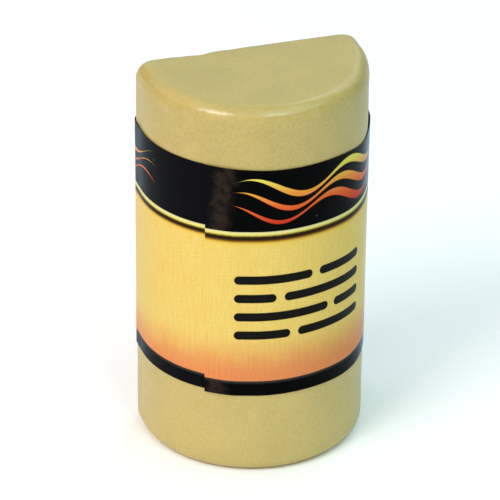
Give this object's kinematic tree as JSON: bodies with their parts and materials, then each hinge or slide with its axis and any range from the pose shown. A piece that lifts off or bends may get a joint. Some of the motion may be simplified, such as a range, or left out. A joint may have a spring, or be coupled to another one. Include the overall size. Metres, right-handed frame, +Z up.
{
  "type": "furniture repair wax stick",
  "caption": "Short stick of soft filler wax with a round front, flat back and rounded ends, held in a printed film wrap that is lapped on itself and slides along the stick.",
  "frame": {"origin": "middle of the stick's base, on the surface it stands on", "axes": "+Z up along the stick, +Y out of the flat back, -Y out of the round front, +X to the right seen from the front"},
  "size_m": [0.029, 0.0194, 0.051],
  "materials": {
    "wax": "soft satin wax, pale tan yellow",
    "film": "semi-gloss white label film",
    "adhesive": "clear tacky adhesive",
    "dark_print": "semi-gloss black print",
    "pale_print": "semi-gloss pale lime print",
    "yellow_print": "semi-gloss yellow print shading to orange at the bottom"
  },
  "bodies": {
    "stick": {"wax_stick": "wax"},
    "wrap": {"wrap_film": "film", "lap_adhesive": "adhesive", "top_band_print": "dark_print", "pinstripe_print": "pale_print", "field_print": "yellow_print", "bottom_stripe_print": "dark_print"}
  },
  "joints": [
    {"name": "wrap_slide", "type": "slide", "parent": "stick", "child": "wrap", "axis": [0, 0, 1], "range_m": [-0.0097, 0.0053]}
  ]
}
